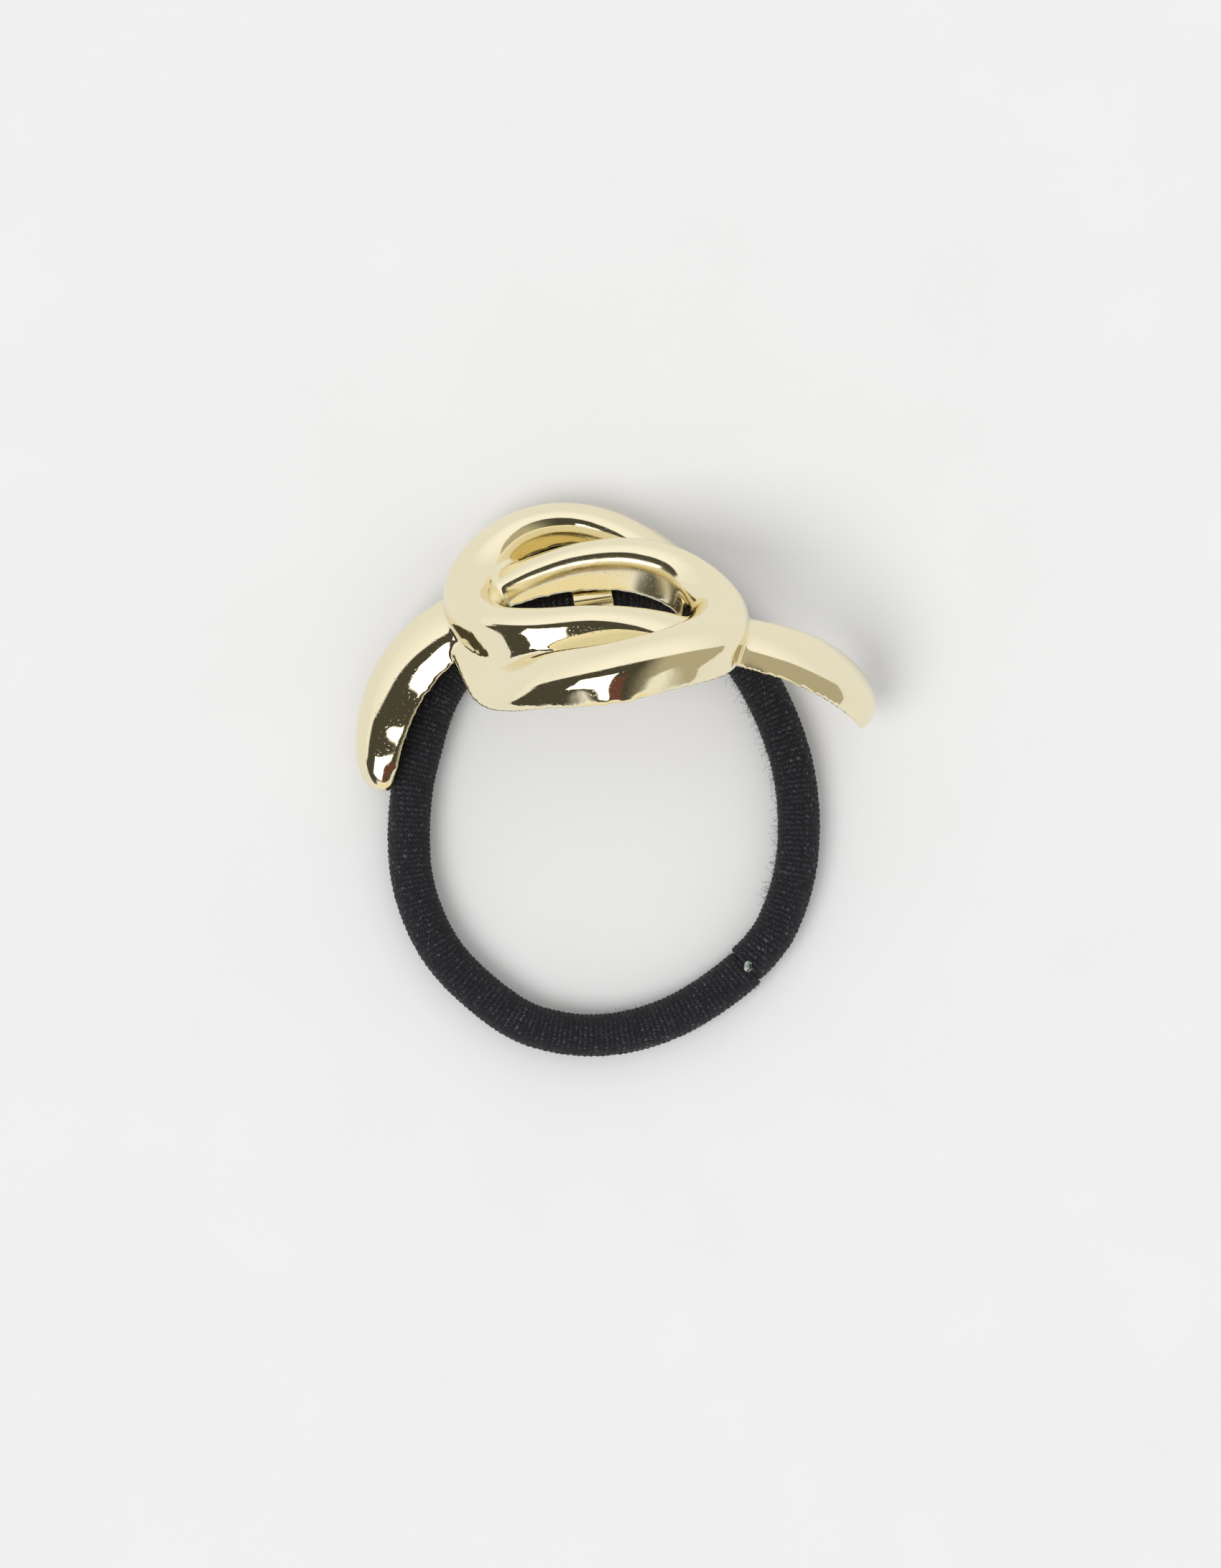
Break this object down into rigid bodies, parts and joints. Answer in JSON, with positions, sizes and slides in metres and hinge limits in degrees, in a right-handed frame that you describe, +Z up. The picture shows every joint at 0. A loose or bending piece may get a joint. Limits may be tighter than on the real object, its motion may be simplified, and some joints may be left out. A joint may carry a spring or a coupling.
{
  "type": "hair tie with a metal knot cuff",
  "caption": "Covered elastic hair tie with a polished cast metal cuff in the form of an interlocked knot, held to the ring by a small metal sleeve.",
  "frame": {"origin": "middle of the base of the object's box, on the surface that it lies on", "axes": "+Z up from the surface, +Y from the joint of the elastic towards the cuff, +X to the right seen from above"},
  "size_m": [0.0603, 0.0642, 0.0306],
  "materials": {
    "cast_gold": "mirror-polished pale gold plate on a cast alloy",
    "sleeve_gold": "plated pale gold sheet",
    "elastic_cover": "black wound and ribbed thread cover",
    "glue": "clear set glue, slightly milky"
  },
  "bodies": {
    "root": {"knot": "cast_gold", "sleeve": "sleeve_gold", "elastic": "elastic_cover", "glue_bead": "glue"}
  },
  "joints": []
}
